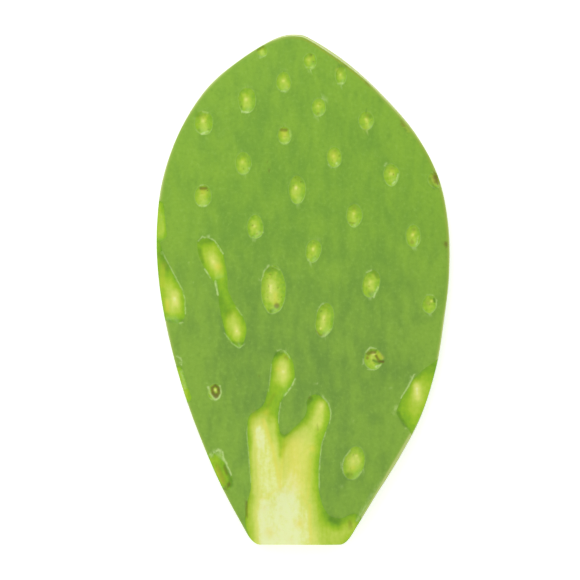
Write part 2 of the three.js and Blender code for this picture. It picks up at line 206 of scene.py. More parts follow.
# What is left of spine cushions, and dry brown spots.
BROWN = [
    (0.6, -31.6, -70.4, 0.8, -30.6, -73.2, 1), (0.75, -29.6, -77.2, 1.2, -31.2, -79.1, 1.2),
    (1, -35.1, -38.1, 1, -36.4, -39.1, 1.1, -36.1, -41.3, 1.3, -34.9, -42.6, 1.5, -33.7, -41.1, 1.3,
     -33.9, -39.1, 1.1, -35.1, -38.1, 1),
    (0.8, -15.9, 96.5, 0.7, -18.7, 94.9, 0.7), (0.75, -9, 63.2, 1.2, -7, 63.2, 1.2),
    (1, 52, 44.8, 1.6, 52.7, 42.2, 1.6), (0.7, 51.7, 47, 0.7, 53.4, 42.2, 0.7),
    (0.85, -40.9, 40.1, 1, -38.7, 40.1, 1), (1, 56.7, 17.9, 2),
    (0.42, -34.4, -70, 1.6, -31.6, -76.4, 1.8), (0.5, 56.5, 16.5, 0.8), (0.9, -10.7, -6.5, 2.1),
    (0.6, 4.8, -16.5, 0.6, 6.5, -18.2, 0.7, 8.1, -18.2, 0.6), (0.8, 25.7, -25.4, 1.7),
    (0.75, 25.2, -27.2, 1.3), (0.5, -7.3, -26.9, 1.2, -6.4, -27.6, 0.8),
    (0.6, 38.6, 66.8, 1, 39.8, 64.9, 1.2), (0.9, 26.7, -25.2, 1.2, 28.3, -25, 1),
    (0.95, 28.7, -26.4, 1, 29.9, -28.4, 1, 31.5, -28.8, 1), (0.5, 24.8, 82.3, 1.2, 25.9, 81.1, 1),
    (0.6, -22.7, -84.3, 1, -22.6, -90.2, 1), (0.22, -11.7, -41.5, 1.3, -14.5, -46.6, 1.3),
    (0.45, 18.2, -92.2, 1.2, 18.6, -94.2, 1.6), (0.35, 5.3, -53.8, 0.6, 5.7, -56.1, 0.5),
    (0.5, -18.6, 22, 0.7), (0.4, -17.3, 23.1, 0.6), (0.5, 43, 18.7, 1.6),
    (0.45, 18.2, 26.5, 0.6, 20.2, 26.2, 0.6), (0.4, 5.7, 69.8, 1), (0.6, -14.5, 50.6, 0.6),
    (0.7, -13.9, 47.4, 0.8), (0.6, -17.7, -34.3, 0.7), (0.4, 2.3, -43, 1.2), (0.3, -22.1, -71.6, 0.6),
]
# Dark green, partly the flesh's own colour and partly painted shade under lips of skin and in the hollows
# of cuts.
DARK_AND_SHADE = [
    (0.25, -9, -56.9, 1.2, -7.7, -58.3, 1.2, -6.2, -56.9, 1.2), (0.5, 10.9, -91, 2.4, 13.6, -92.2, 2.8),
    (0.6, 1.7, -45, 1.6, 2.9, -43.4, 1.6), (0.6, 37.4, -49, 1.2, 39.8, -53.4, 1.6),
    (0.5, 40.6, -54.1, 1.2), (0.35, -54.2, -12.7, 1.2, -48.2, -12.3, 1.2),
    (0.45, -57, 14.1, 2.4, -54.2, 8.5, 2.4), (0.4, -41.3, 19, 2, -37.5, 19.2, 2),
    (0.45, -41.3, 15.7, 1.2, -39.9, 10.9, 1.2), (0.3, -32.8, -4.2, 2.4, -30, -9.7, 3.2),
    (0.5, -28, -21, 1.2, -24.4, -21.6, 1.2), (0.7, -12.9, -8.7, 1.6),
    (0.4, -14.1, 7.7, 2.4, -11.3, 8.1, 2), (0.55, 27.9, 6.9, 2, 29.5, 5, 1.6), (0.5, 26.7, -1.6, 2),
    (0.3, 8.5, -6.5, 2), (0.6, -10.8, -25.6, 2, -8.6, -25, 1.6), (0.6, 18, -73.8, 2.8),
    (0.9, -29.2, -77.6, 2), (0.9, -35.9, -41.1, 1.3, -34.8, -42.2, 1.5), (0.7, -33.8, -39.9, 1),
    (0.7, -31.4, -69.6, 1, -30, -72.8, 1.2, -28.8, -76, 1.6), (0.12, -7.4, -47, 10.3),
    (0.1, -13.3, -32.7, 4), (1, 51.7, -3.8, 0.8, 51.9, -5, 0.8), (0.45, 49.3, -5.4, 2),
    (0.7, 26.7, -24.4, 1, 28.7, -24.3, 0.8), (1, 27.7, -28.2, 1, 29.9, -29, 1.3, 31.5, -28.4, 0.8),
    (0.45, 25.9, 68.8, 2), (0.5, 24.8, 71.6, 0.6, 24.7, 70, 0.6), (0.5, 14, 88.9, 1.2, 16.6, 88.5, 1.3),
    (0.6, 50.2, 43.8, 1.2, 51.7, 40.7, 1.2), (0.3, -2.2, 44, 2.8), (0.3, 19.4, 33.5, 2.8),
    (0.4, -41.5, 68.8, 2), (0.4, -41.5, 63.3, 1.2), (0.3, -9.4, -44.6, 0.8, -9.8, -51.8, 0.8),
    (0.5, 38.2, 66.4, 0.6, 41.2, 62.1, 0.6),
]
# Shreds of torn, dry skin.
TORN = [
    (0.6, 41.4, -60.1, 1, 35.1, -70.4, 1.2, 29.9, -78.3, 1.3, 24.8, -86.3, 1.4, 21.2, -91.8, 1.2),
    (0.15, -56.6, 29.6, 2, -56.6, 22.4, 2.4), (0.5, -48.6, -32.7, 1.2, -47.2, -39.1, 1.2),
    (0.95, -24.6, 70.6, 0.6, -22.1, 70.3, 0.7), (0.7, -40.1, 70.6, 0.6, -38.1, 70.1, 0.6),
    (0.85, -40.5, 61.7, 0.8, -38.3, 62.5, 0.9), (0.5, 1, 88, 0.6, 4.1, 87.9, 0.6),
    (0.6, 13.6, 81.8, 0.7, 15.6, 81.7, 0.8), (0.5, -9, 78.7, 0.6, -6.6, 78.5, 0.6), (0.5, -17.3, 92, 1),
    (0.5, 7.3, 75.8, 0.6, 8.9, 74.6, 0.6), (0.5, -5.5, 62.9, 0.6, -5.3, 60.5, 0.6),
    (0.5, -8.8, 58.1, 0.6, -6.6, 58.1, 0.6), (0.9, 13.1, 50, 0.9),
    (0.5, 9.7, 49.4, 0.6, 10.9, 48.6, 0.6), (0.9, -21.8, 47.9, 0.8), (0.95, 32.7, 50, 0.9),
    (0.8, 32.1, 49.1, 0.7), (0.75, 37.4, 45.8, 0.5, 36.7, 43, 0.6, 35.2, 41.9, 0.7),
    (0.65, -41.3, 33.3, 0.7, -38.7, 33.3, 0.7), (0.6, -41.1, 41.1, 0.5, -39.9, 41.4, 0.5),
    (0.9, 19.9, 25.2, 1.1), (0.6, -20.1, 20.6, 0.8), (0.6, -16.2, 22.6, 0.7), (0.45, -17.9, 22.4, 1.6),
    (0.55, 45.4, 21.2, 0.6, 44.8, 18, 0.6), (0.5, 1.9, 11.7, 1),
    (0.85, -41.9, 19.2, 0.5, -40.3, 20.8, 0.5, -37.6, 20.4, 0.5, -35.4, 19.3, 0.5, -33.6, 16.9, 0.5,
     -32, 14.1, 0.4),
    (0.85, -39.3, 8.1, 0.6, -37.1, 4.6, 0.5), (0.95, -35.1, 3, 0.8, -34.1, -2.2, 0.7),
    (0.5, -31.6, -17.3, 0.4, -28.4, -21.4, 0.5, -25.6, -23.4, 0.5, -23.4, -21.6, 0.4),
    (0.45, -26.8, -7.1, 0.4, -24.6, -10.1, 0.4),
    (0.65, -56.4, 15.3, 0.4, -53.5, 9.7, 0.5, -50.6, 4.3, 0.5, -48.1, -0.2, 0.5, -47.1, -4.2, 0.5,
     -47, -9.7, 0.5),
    (0.6, -49.4, -13.5, 0.6, -47.8, -13.1, 0.6),
    (0.85, 43.8, -33.9, 0.7, 41.4, -38.5, 0.6, 38.5, -43.2, 0.5),
    (0.45, 36.7, -46.2, 1.2, 35.9, -49.4, 0.9), (0.75, 40.6, -55.3, 0.8),
    (0.6, 18.4, -63.9, 0.4, 16.2, -66.6, 0.5, 15.1, -70, 0.6, 15.7, -72.8, 0.5),
    (0.8, 21.8, -73.6, 0.6, 23.6, -71.6, 0.6), (0.75, -16.8, 3.4, 0.4, -15.7, 7.3, 0.5, -14.1, 9.4, 0.9),
    (0.5, -12.5, 9.3, 0.5, -9.6, 7.7, 0.5), (0.65, 24.8, 6.7, 0.5, 26.7, 7.6, 0.6),
    (0.95, 29.4, 0.8, 0.6, 27.7, -3, 0.7), (0.95, 7.5, -5.6, 0.9), (0.5, 5.3, -8.5, 0.4, 6.9, -6.1, 0.5),
    (0.5, 10.5, -15.7, 0.6, 8.9, -17.9, 0.6, 7.1, -18.8, 0.6), (0.4, 49, -2.2, 0.5, 51.3, -2.3, 0.5),
    (0.5, 52.7, -4.2, 0.6, 52.5, -7.3, 0.5), (0.8, 24.8, -24.8, 0.6, 26.3, -23.1, 0.7, 28.7, -23.6, 0.5),
    (0.85, 28.7, -30.7, 0.9, 30.5, -29.9, 0.7), (0.6, 23.6, -27.8, 0.6, 23.6, -29.6, 0.6),
    (0.6, 25.5, -31.8, 0.5, 27.9, -31.9, 0.5),
    (1, -37.9, -38.7, 0.8, -37.4, -41.1, 0.9, -36.2, -42.9, 0.9, -35, -43.8, 1, -33.6, -42.8, 0.8,
     -32.9, -40.9, 0.8, -33.4, -38.3, 0.7),
    (0.95, -50.6, -26.6, 0.4, -49, -27.2, 0.5, -48.4, -28.4, 0.6, -48.9, -31.1, 0.4),
    (1, -38.3, -66.3, 0.7, -35.7, -64.5, 0.9, -33.8, -63.8, 1.2, -32.5, -64.7, 1.2, -32.1, -67, 1.1,
     -30.7, -69.3, 0.8, -28.8, -73.6, 0.6),
    (0.5, -34.4, -64.9, 1.6, -33, -66.4, 1.6), (0.6, -36.7, -66.1, 1.2),
    (0.85, -10.6, -24.4, 0.6, -9, -24, 0.7, -7.4, -24.6, 0.6, -5.6, -27, 0.4),
    (0.9, -3.4, -35.3, 0.5, -4.8, -38.5, 0.6, -7.8, -42.2, 0.6),
    (0.45, -12.8, -29.6, 0.4, -13.4, -35.1, 0.4, -14, -40.3, 0.4),
    (0.5, -22.5, -54.1, 0.4, -22.5, -58.5, 0.4, -21.9, -64.9, 0.4, -21, -76.4, 0.4),
    (0.65, 7.3, -42.2, 0.7, 9.9, -45.4, 0.6, 10.8, -49, 0.5, 10.3, -53, 0.5),
    (0.55, 8.7, -56.7, 0.4, 7, -62.1, 0.4, 6.1, -71.6, 0.4, 6.1, -79.5, 0.4),
    (0.6, -9.2, -45, 0.4, -9.8, -49, 0.4, -10, -53, 0.4), (0.85, 2.5, -41.3, 0.7),
    (0.5, 3.7, -37.1, 0.4, 5.5, -37.1, 0.4), (0.5, 19.6, -52.3, 0.9), (0.3, 15.1, -78.3, 1.2),
    (0.5, 34.5, -39.1, 1), (0.3, -38.3, -37.1, 0.6), (0.4, -43.9, 2.6, 0.6), (0.4, -45.7, 10.5, 0.7),
]

# What each list of marks changes, and how sharply such a mark ends.
KINDS = [("pale", PALE_AND_HIGHLIGHTS, 2), ("gold", GOLD, 2), ("dark", DARK_AND_SHADE, 3), ("brown", BROWN, 4), ("torn", TORN, 4)]
MARK_SHAKE = 0.12  # how unsteady the marks' borders are
THINNEST = 0.25  # half of the width of the finest mark

# Relief of the skin and of the trimmed edge.
SWELLING = 0.1
LIP = 0.07  # skin raised along the border of a cut
RAGGED = 0.035  # unevenness of cut flesh
WAVE = 0.35  # how far a cut's border strays to either side
EDGE_RIPPLE = 0.06
EDGE_HOLLOW = 0.1

# How finely the pad is made.
GRID = 96  # steps across the sheet that each skin starts from
SHEET = (58, 101)  # half of that sheet's width and length before it takes the outline
RIM_CUTS = 2  # further cuts through its outermost faces
CARE = 0.8  # how far round a cut the skin is made finer
MARK_CARE = 0.7  # and round a mark
BORDER = 0.38  # half of the strip along a cut's border that is made finest
WALL_ROWS = 9  # rows of faces down the trimmed edge
INSIDE = 0.9995  # keeps the fine outline inside the solid's


def curve_through(points, steps, closed=False):
    """Points along a smooth curve through the given ones."""
    known = np.array(points, float)
    spans = len(known) if closed else len(known) - 1
    made = []
    for i in range(spans):
        around = [i - 1, i, i + 1, i + 2]
        if closed:
            around = [j % len(known) for j in around]
        before, start, end, after = known[np.clip(around, 0, len(known) - 1)]
        leave, arrive = (end - before) / 2, (after - start) / 2
        t = (np.arange(steps) / steps)[:, None]
        made.append(
            (2 * start - 2 * end + leave + arrive) * t**3
            + (-3 * start + 3 * end - 2 * leave - arrive) * t**2
            + leave * t
            + start
        )
    return np.concatenate(made)


def hump(off, spread):
    """1 in the middle, falling away to 0 on both sides."""
    return np.exp(-((off / spread) ** 2))


def bearing_of(x, y):
    return np.mod(np.arctan2(y, x), math.tau)


def outline_table():
    """The outline as its distance from the middle, by bearing."""
    x, y = curve_through(OUTLINE, 60).T
    bearing = bearing_of(x, y)
    order = np.argsort(bearing)
    return bearing[order], np.hypot(x, y)[order]


BEARINGS, RADII = outline_table()


def grown_radius(bearing):
    return np.interp(bearing, BEARINGS, RADII, period=math.tau)


def edge_radius(bearing):
    """Distance from the pad's middle to its edge, which the cut across the stem shortens."""
    whole = grown_radius(bearing)
    down = np.minimum(np.sin(bearing), -0.5)
    cut = STEM_CUT / down
    blend = np.clip(0.5 + (cut - whole) / CORNER / 2, 0, 1)
    blended = cut + (whole - cut) * blend - CORNER * blend * (1 - blend)
    return np.where(np.sin(bearing) > -0.5, whole, blended)


def knife_lean(bearing):
    """How much smaller than the back the front is, at a bearing."""
    lean = np.full_like(bearing, LEAN)
    for middle, spread, amount in LEANS:
        away = np.mod(np.degrees(bearing) - middle + 180, 360) - 180
        lean += amount * hump(away, spread)
    return lean


def smooth(start, end, value):
    """Rises gently from 0 at the start to 1 at the end."""
    t = np.clip((value - start) / (end - start), 0, 1)
    return t * t * (3 - 2 * t)


def fullness(x, y):
    """How full the pad's section is: 1 at the middle, less towards the trimmed edge."""
    reach = np.hypot(x, y) / grown_radius(bearing_of(x, y))
    return (1 - (TRIM * reach) ** ROUNDNESS) ** (1 / ROUNDNESS)


def middle_plane(y):
    return BELLY - FLAT + TIP_LIFT * np.maximum(0, (y - TIP_STARTS) / (TIP - TIP_STARTS)) ** 2


def front_height(x, y):
    swell = BELLY + (NECK_FRONT - BELLY) * smooth(NECK_STARTS, STEM_CUT, y)
    return middle_plane(y) + swell * fullness(x, y)


def back_height(x, y):
    swell = BELLY + (NECK_BACK - BELLY) * smooth(NECK_STARTS, STEM_CUT, y)
    return np.maximum(0, middle_plane(y) - swell * fullness(x, y))


# ---------------------------------------------------------------- the knife's cuts


def strayer(seed):
    """Repeatable stray from 0 to 1."""
    state = seed
    while True:
        state = state * 16807 % 2147483647
        yield state / 2147483647


def back_scars():
    draw = strayer(11)
    across, along, stray = LATTICE["across"], LATTICE["along"], LATTICE["stray"]
    narrow, wide = LATTICE["width"]
    short, long = LATTICE["length"]
    scars = []
    for row in range(-7, 7):
        for column in range(-3, 4):
            x = (column + (0.5 if row % 2 else 0)) * across + stray * (2 * next(draw) - 1)
            y = (row + 0.5) * along + stray * (2 * next(draw) - 1)
            width = narrow + (wide - narrow) * next(draw)
            length = short + (long - short) * next(draw)
            inside = math.hypot(x, y) < LATTICE["reach"] * grown_radius(bearing_of(x, y))
            if inside and y > BACK_STEM:
                # How bright the painted highlight on each scar's core is.
                core_highlight = 0.4 + 0.5 * math.sin(7 * width) ** 2
                brown = 0.9 * math.sin(5 * length) ** 2
                scars.append((x, y, width, length, 0, BACK_DEPTH, core_highlight, brown))
    return scars


def dish(off, depth):
    """Depth of an ellipsoid's cut at a share of the way from its middle to its border."""
    bow = math.sqrt(1 - (1 - BITE) ** 2)
    inside = np.sqrt(np.maximum(0, 1 - (bow * np.minimum(off, 1)) ** 2))
    return depth / BITE * (inside - (1 - BITE))


def wander(x, y, size, seed):
    """A smooth random number from -1 to 1 for each point."""
    return np.array([noise.noise((a / size, b / size, seed)) for a, b in zip(x, y)])


def paleness(deep):
    """How pale flesh is at a depth: green just under the skin, nearly white in the thick of the pad."""
    return MOST_PALE * (1 - np.exp(-(deep**0.9)))


def blob(across, along, middle, size):
    """A soft oval spot, 1 at its middle."""
    return np.exp(-(((across - middle[0]) / size[0]) ** 2) - ((along - middle[1]) / size[1]) ** 2)


def along_stroke(x, y, stroke):
    """Distance from a stroke's line, and half of the stroke's width there."""
    x0, y0, width0, x1, y1, width1 = stroke
    dx, dy = x1 - x0, y1 - y0
    t = np.clip(((x - x0) * dx + (y - y0) * dy) / max(dx * dx + dy * dy, 1e-9), 0, 1)
    half = (width0 + (width1 - width0) * t) / 2
    return np.hypot(x - x0 - t * dx, y - y0 - t * dy), half


def within(x, y, outline):
    """How far inside a closed outline each point is, negative outside."""
    start = curve_through(outline, 7, closed=True)
    step = np.roll(start, -1, 0) - start
    low, high = start.min(0) - 3, start.max(0) + 3
    near = np.flatnonzero((x > low[0]) & (x < high[0]) & (y > low[1]) & (y < high[1]))
    found = np.full_like(x, OUTSIDE)
    for some in np.array_split(near, len(near) // 4000 + 1):
        px, py = x[some, None] - start[:, 0], y[some, None] - start[:, 1]
        t = np.clip((px * step[:, 0] + py * step[:, 1]) / (step**2).sum(1), 0, 1)
        away = np.hypot(px - t * step[:, 0], py - t * step[:, 1]).min(1)
        crosses = (py < 0) != (py < step[:, 1])
        left = px < py * step[:, 0] / np.where(step[:, 1] == 0, 1e-9, step[:, 1])
        odd = (crosses & left).sum(1) % 2 == 1
        found[some] = np.where(odd, away, -away)
    return found


class Tissue:
    """What cutting and drying have done at each of a set of points on a skin."""

    def __init__(self, x, y, front):
        self.true = x, y
        self.x = x + WAVE * wander(x, y, 4.5, 3.1)
        self.y = y + WAVE * wander(x, y, 4.5, 8.7)
        blank = np.zeros_like(x)
        self.deep, self.pale, self.gold, self.brown, self.dark, self.torn = (blank.copy() for _ in range(6))
        self.inside = np.full_like(x, OUTSIDE)
        self.scarred = np.zeros(len(x), bool)
        for scar in FRONT_SCARS if front else BACK_SCARS:
            self.add_scar(*scar)
        for outline, strokes, left, right in SLICES if front else []:
            self.add_slice(outline, strokes, left, right)
        for stroke in EDGE_STROKES if front else BACK_STROKES:
            self.add_stroke(stroke)

    def add_scar(self, middle_x, middle_y, width, length, tilt, depth, core_highlight, brown):
        near = np.flatnonzero(np.hypot(self.x - middle_x, self.y - middle_y) < length + 4)
        x, y = self.x[near] - middle_x, self.y[near] - middle_y
        place = x + middle_x, y + middle_y
        cos, sin = math.cos(math.radians(tilt)), math.sin(math.radians(tilt))
        half_width, half_length = width / 2, length / 2
        across, along = (x * cos + y * sin) / half_width, (y * cos - x * sin) / half_length
        off = np.hypot(across, along) + 1e-6
        inside = (1 - off) * off / (np.hypot(across / half_width, along / half_length) + 1e-6)
        self.deep[near] = np.maximum(self.deep[near], dish(off, depth))
        self.inside[near] = np.maximum(self.inside[near], inside)
        self.scarred[near] |= inside > 0
        # A pale middle of flesh, and a painted highlight on its core, both uneven.
        most = 0.3 + 0.15 * smooth(0.5, 1.4, depth)
        pale = LEAST_PALE + most * blob(across, along, (-0.1, -0.05), (0.72, 0.76))
        pale += 0.4 * core_highlight * blob(across, along, (-0.12, 0.12), (0.2, 0.15))
        pale += 0.13 * wander(*place, 1.3, 4.4) * smooth(0, 0.6, inside)
        self.pale[near] = np.maximum(self.pale[near], pale)
        # What is left of the cushion is at the top of the scar, with brown dots and some yellow.
        self.brown[near] += 0.5 * brown * blob(across, along, (0.1, 0.6), (0.26, 0.12))
        self.brown[near] += 0.9 * smooth(0.35, 0.9, wander(*place, 0.9, 7.9)) * smooth(0.2, 0.8, inside)
        self.gold[near] += 0.35 * brown * blob(across, along, (0.08, 0.4), (0.4, 0.3))
        # The skin is torn round it, and its flesh has dried a little. The torn ring is made brighter
        # towards its lower end as a painted highlight where that rim catches the light.
        ring = smooth(-0.4, -0.1, inside) * smooth(0.2, -0.05, inside)
        torn = ring * (0.22 + 0.3 * smooth(0.2, 1, -along / off)) + 0.11 * smooth(0, 0.4, inside)
        self.torn[near] = np.maximum(self.torn[near], torn)

    def add_slice(self, outline, strokes, left, right):
        inside = within(self.x, self.y, outline)
        near = np.flatnonzero(inside > -3)
        x, y, inside = self.x[near], self.y[near], inside[near]
        from_border = np.maximum(inside, 0)
        deep = np.full_like(x, 0.3)
        for *stroke, depth in strokes:
            away, half = along_stroke(x, y, stroke)
            deep = np.maximum(deep, dish(away / (half * 1.25), depth))
        ramp = 0.6 * from_border
        both = deep * ramp / (deep**3 + ramp**3 + 1e-9) ** (1 / 3)
        self.deep[near] = np.maximum(self.deep[near], both)
        self.inside[near] = np.maximum(self.inside[near], inside)
        green = left + (right - left) * smooth(-4, 5, x - np.mean(outline, 0)[0])
        flesh = paleness(deep) * (1 - np.exp(-from_border / green)) * (1 - LEAST_PALE)
        self.pale[near] = np.maximum(self.pale[near], (inside > 0) * (LEAST_PALE + flesh))

    def add_stroke(self, stroke):
        *line, depth = stroke
        away, half = along_stroke(self.x, self.y, line)
        deep = dish(away / half, depth)
        self.deep = np.maximum(self.deep, deep)
        self.inside = np.maximum(self.inside, half - away)
        flesh = paleness(deep) * (1 - np.exp(-np.maximum(half - away, 0) / EDGE_GREEN))
        self.pale = np.maximum(self.pale, (away < half) * (LEAST_PALE + flesh))

    def cover(self, path, power):
        """How much each point is covered by a mark that fades out at its width."""
        x, y = self.true
        x, y = x + MARK_SHAKE * self.shake[0], y + MARK_SHAKE * self.shake[1]
        found = np.zeros_like(x)
        points = [path[i : i + 3] for i in range(0, len(path), 3)]
        for one, other in zip(points, points[1:] or points):
            away, half = along_stroke(x, y, (*one, *other))
            found = np.maximum(found, np.exp(-0.7 * (away / np.maximum(half, THINNEST)) ** power))
        return found

    def mark(self):
        """Adds the listed marks."""
        x, y = self.true
        self.shake = wander(x, y, 1.3, 5.5), wander(x, y, 1.3, 6.5)
        for strength, *path in GREEN:
            self.pale *= 1 - strength * self.cover(path, 2)
        for name, paths, power in KINDS:
            found = getattr(self, name)
            for strength, *path in paths:
                found += self.cover(path, power) * np.maximum(0, strength - found)


# ---------------------------------------------------------------- modelling


def only(*objects):
    """Selects these objects and nothing else, with the first one active."""
    bpy.ops.object.select_all(action="DESELECT")
    for piece in objects:
        piece.select_set(True)
    bpy.context.view_layer.objects.active = objects[0]


def places(piece):
    """The piece's vertices, in millimetres."""
    found = np.zeros(len(piece.data.vertices) * 3)
    piece.data.vertices.foreach_get("co", found)
    return found.reshape(-1, 3) / MM


def put(piece, where):
    """Moves the piece's vertices to places in millimetres."""
    piece.data.vertices.foreach_set("co", (where * MM).ravel())
    piece.data.update()


def face_middles(piece):
    found = np.zeros(len(piece.data.polygons) * 3)
    piece.data.polygons.foreach_get("center", found)
    return found.reshape(-1, 3) / MM


def split_faces(piece, chosen, cuts):
    """Subdivides the chosen faces."""
    only(piece)
    bpy.ops.object.mode_set(mode="EDIT")
    bpy.ops.mesh.select_mode(type="FACE")
    bpy.ops.mesh.select_all(action="DESELECT")
    bpy.ops.object.mode_set(mode="OBJECT")
    piece.data.polygons.foreach_set("select", chosen)
    bpy.ops.object.mode_set(mode="EDIT")
    bpy.ops.mesh.subdivide(number_cuts=cuts)
    bpy.ops.object.mode_set(mode="OBJECT")


def share_out(x, y):
    """How far out from the middle to the edge a point is."""
    return np.hypot(x, y) / edge_radius(bearing_of(x, y))


def lean_in(x, y):
    """Where points of the front go as the leaning knife narrows it near its edge."""
    shift = knife_lean(bearing_of(x, y)) * smooth(LEAN_STARTS, 1, share_out(x, y))
    share = 1 - shift / np.maximum(np.hypot(x, y), 1)
    return x * share, y * share


def at_rim(x, y, rows=0.95):
    """Whether points are in the outermost rows of the sheet's faces."""
    return share_out(x, y) > 1 - 2 * rows / GRID


def skin_blank():
    """A flat sheet of faces with the outline of the pad's back."""
    bpy.ops.mesh.primitive_grid_add(x_subdivisions=GRID, y_subdivisions=GRID, size=2 * MM)
    blank = bpy.context.object
    across, along, _ = places(blank).T
    wide = np.abs(across) > np.abs(along)
    part = np.where(wide, across, along)
    slant = np.where(wide, along, across) / np.where(part == 0, 1, part)
    turn = np.where(wide, math.pi / 4 * slant, math.pi / 2 - math.pi / 4 * slant)
    x, y = part * np.cos(turn) * SHEET[0], part * np.sin(turn) * SHEET[1]
    bearing = bearing_of(x, y)
    radius = np.abs(part) * edge_radius(bearing) * INSIDE
    put(blank, np.stack([radius * np.cos(bearing), radius * np.sin(bearing), 0 * x], 1))
    x, y, _ = face_middles(blank).T
    split_faces(blank, at_rim(x, y), RIM_CUTS)
    x, y, _ = places(blank).T
    edge = edge_radius(bearing_of(x, y)) * INSIDE
    grow = np.where(share_out(x, y) > 1 - 0.6 / GRID, edge / np.maximum(np.hypot(x, y), 1), 1)
    put(blank, np.stack([x * grow, y * grow, 0 * x], 1))
    return blank


def refine(sheet, front, cuts):
    """Makes the faces smaller inside the cuts and at the marks, and finest at the cuts' borders."""
    flat = face_middles(sheet).T[:2]
    x, y = lean_in(*flat) if front else flat
    chosen = Tissue(x, y, front).inside > -CARE
    if front:
        for _, *path in TORN + BROWN + DARK_AND_SHADE:
            for i in range(0, len(path), 3):
                chosen |= np.hypot(x - path[i], y - path[i + 1]) < path[i + 2] / 2 + MARK_CARE
    split_faces(sheet, chosen & ~at_rim(*flat, 1.3), cuts)
    flat = face_middles(sheet).T[:2]
    x, y = lean_in(*flat) if front else flat
    tissue = Tissue(x, y, front)
    chosen = (np.abs(tissue.inside + 0.05) < BORDER) | (tissue.scarred & front)
    split_faces(sheet, chosen & ~at_rim(*flat, 1.3), 1)


def skin_height(x, y, front):
    """Height of a skin with its cuts, the lips round them and its swellings."""
    tissue = Tissue(x, y, front)
    whole = smooth(1, 0.9, share_out(x, y))
    swelling = SWELLING * wander(x, y, 17, 2.2) * whole
    lip = LIP * smooth(-0.9, -0.1, tissue.inside) * smooth(0.3, 0, tissue.inside)
    ragged = RAGGED * wander(x, y, 1.1, 9.3) * smooth(0.2, 0.8, tissue.inside)
    off = lip + ragged + swelling - tissue.deep
    if front:
        return front_height(x, y) - SETTLED * whole + off
    return back_height(x, y) + np.maximum(0, -off)


def lie(sheet, front):
    """Lifts a flat sheet to where the skin is."""
    x, y, _ = places(sheet).T
    if front:
        x, y = lean_in(x, y)
    put(sheet, np.stack([x, y, skin_height(x, y, front)], 1))


def trimmed_edge(sheet):
    """Extrudes the front's outline down to the back's, row by row, with the ripple of the knife."""
    only(sheet)
    bpy.ops.object.mode_set(mode="EDIT")
    bpy.ops.mesh.select_mode(type="EDGE")
    bpy.ops.mesh.select_all(action="DESELECT")
    bpy.ops.mesh.select_non_manifold()
    bpy.ops.object.mode_set(mode="OBJECT")
    first = np.zeros(len(sheet.data.vertices), bool)
    sheet.data.vertices.foreach_get("select", first)
    start = places(sheet)[first]
    bearing = bearing_of(start[:, 0], start[:, 1])
    foot = edge_radius(bearing) * INSIDE
    x, y = foot * np.cos(bearing), foot * np.sin(bearing)
    end = np.column_stack([x, y, skin_height(x, y, False)])
    order = np.argsort(bearing)
    for row in range(1, WALL_ROWS + 1):
        known = len(sheet.data.vertices)
        bpy.ops.object.mode_set(mode="EDIT")
        bpy.ops.mesh.extrude_edges_move()
        bpy.ops.object.mode_set(mode="OBJECT")
        where = places(sheet)
        t = row / WALL_ROWS
        new = bearing_of(where[known:, 0], where[known:, 1])
        match = order[np.searchsorted(bearing[order], new - 1e-5) % len(order)]
        hollow = math.sin(math.pi * t)
        wavy = wander(np.degrees(new) * 1.1, 5 * t + 0 * new, 2.2, 1.7)
        ripple = EDGE_RIPPLE * hollow * wavy - EDGE_HOLLOW * hollow
        where[known:] = start[match] * (1 - t) + end[match] * t
        where[known:, :2] *= (1 + ripple / np.hypot(*start[match, :2].T))[:, None]
        put(sheet, where)


def model_pad():
    front = skin_blank()
    only(front)
    bpy.ops.object.duplicate()
    back = bpy.context.object
    refine(front, True, 2)
    refine(back, False, 1)
    lie(front, True)
    lie(back, False)
    skin = len(front.data.polygons)
    trimmed_edge(front)
    for sheet, walls_from in ((front, skin), (back, len(back.data.polygons))):
        part = sheet.data.attributes.new("wall", "BOOLEAN", "FACE")
        part.data.foreach_set("value", np.arange(len(sheet.data.polygons)) >= walls_from)
    only(front, back)
    bpy.ops.object.join()
    bpy.ops.object.mode_set(mode="EDIT")
    bpy.ops.mesh.select_mode(type="VERT")
    bpy.ops.mesh.select_all(action="SELECT")
    bpy.ops.mesh.remove_doubles(threshold=0.01 * MM)
    bpy.ops.mesh.normals_make_consistent(inside=False)
    bpy.ops.object.mode_set(mode="OBJECT")
    front.name = front.data.name = "cactus_pad"
    only(front)
    bpy.ops.object.shade_smooth_by_angle(angle=math.radians(50))
    return front


def corners(mesh):
    """For each face corner, its vertex, and whether its face is on the trimmed edge."""
    vertex = np.zeros(len(mesh.loops), np.int32)
    mesh.loops.foreach_get("vertex_index", vertex)
    wall = np.zeros(len(mesh.polygons), bool)
    mesh.attributes["wall"].data.foreach_get("value", wall)
    size = np.zeros(len(mesh.polygons), np.int32)
    mesh.polygons.foreach_get("loop_total", size)
    return vertex, np.repeat(wall, size)


